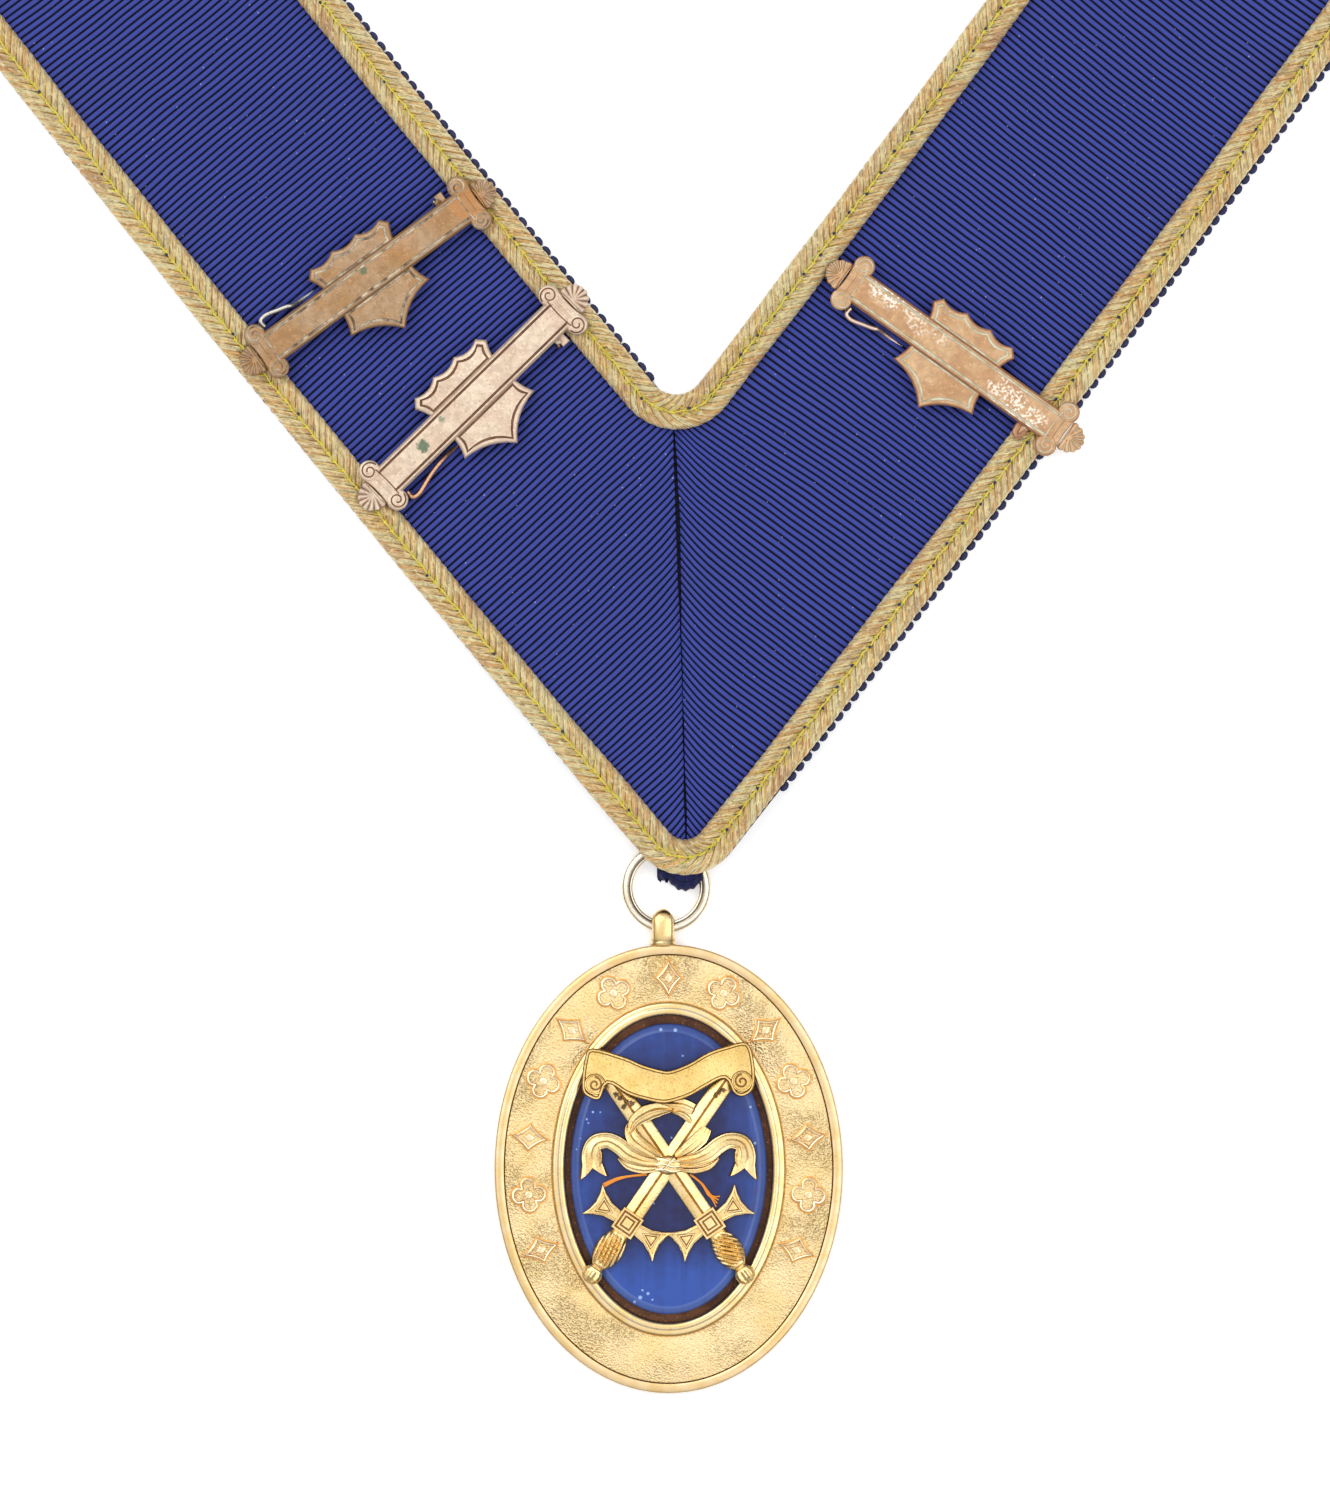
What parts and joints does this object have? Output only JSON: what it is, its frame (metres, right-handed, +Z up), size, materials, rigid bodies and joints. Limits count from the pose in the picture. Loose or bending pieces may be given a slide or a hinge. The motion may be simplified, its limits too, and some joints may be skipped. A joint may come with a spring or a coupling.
{
  "type": "ceremonial collar with jewel",
  "caption": "Ceremonial neck collar of blue ribbon edged with metal lace, lying flat, with an oval enamelled jewel on a ring below its tip and pin-on metal bars on its limbs.",
  "frame": {"origin": "on the surface that the collar lies on, under the middle of the box round everything", "axes": "+Z up out of the surface, +Y from the jewel towards the back of the neck, +X to the right"},
  "size_m": [0.342, 0.535, 0.0091],
  "materials": {
    "navy_ribbon": "matt ribbed backing ribbon with a picot edge",
    "blue_ribbon": "ribbed ribbon with a faint sheen",
    "gold_lace": "woven metal thread, a little tarnished",
    "navy_tab": "matt ribbed ribbon",
    "silver_gilt": "polished wire",
    "gilt": "cast gilt metal",
    "gilt_back": "plain gilt sheet",
    "blue_enamel": "glossy opaque enamel",
    "bar_metal_1": "stamped bronze, worn and tarnished",
    "bar_metal_2": "stamped metal, pale and worn",
    "bar_metal_3": "stamped copper-coloured metal, worn",
    "pin_wire_1": "drawn wire",
    "pin_wire_2": "drawn wire",
    "pin_wire_3": "drawn wire"
  },
  "bodies": {
    "root": {"backing_ribbon": "navy_ribbon", "ribbon_left": "blue_ribbon", "ribbon_right": "blue_ribbon", "lace_outer": "gold_lace", "lace_inner": "gold_lace", "hanging_ring": "silver_gilt", "ring_tab": "navy_tab", "jewel_frame": "gilt", "jewel_back": "gilt_back", "enamel_plaque": "blue_enamel", "swords_emblem": "gilt", "scroll_banner": "gilt", "bar_1": "bar_metal_1", "bar_2": "bar_metal_2", "bar_3": "bar_metal_3", "pin_1": "pin_wire_1", "pin_2": "pin_wire_2", "pin_3": "pin_wire_3"}
  },
  "joints": []
}
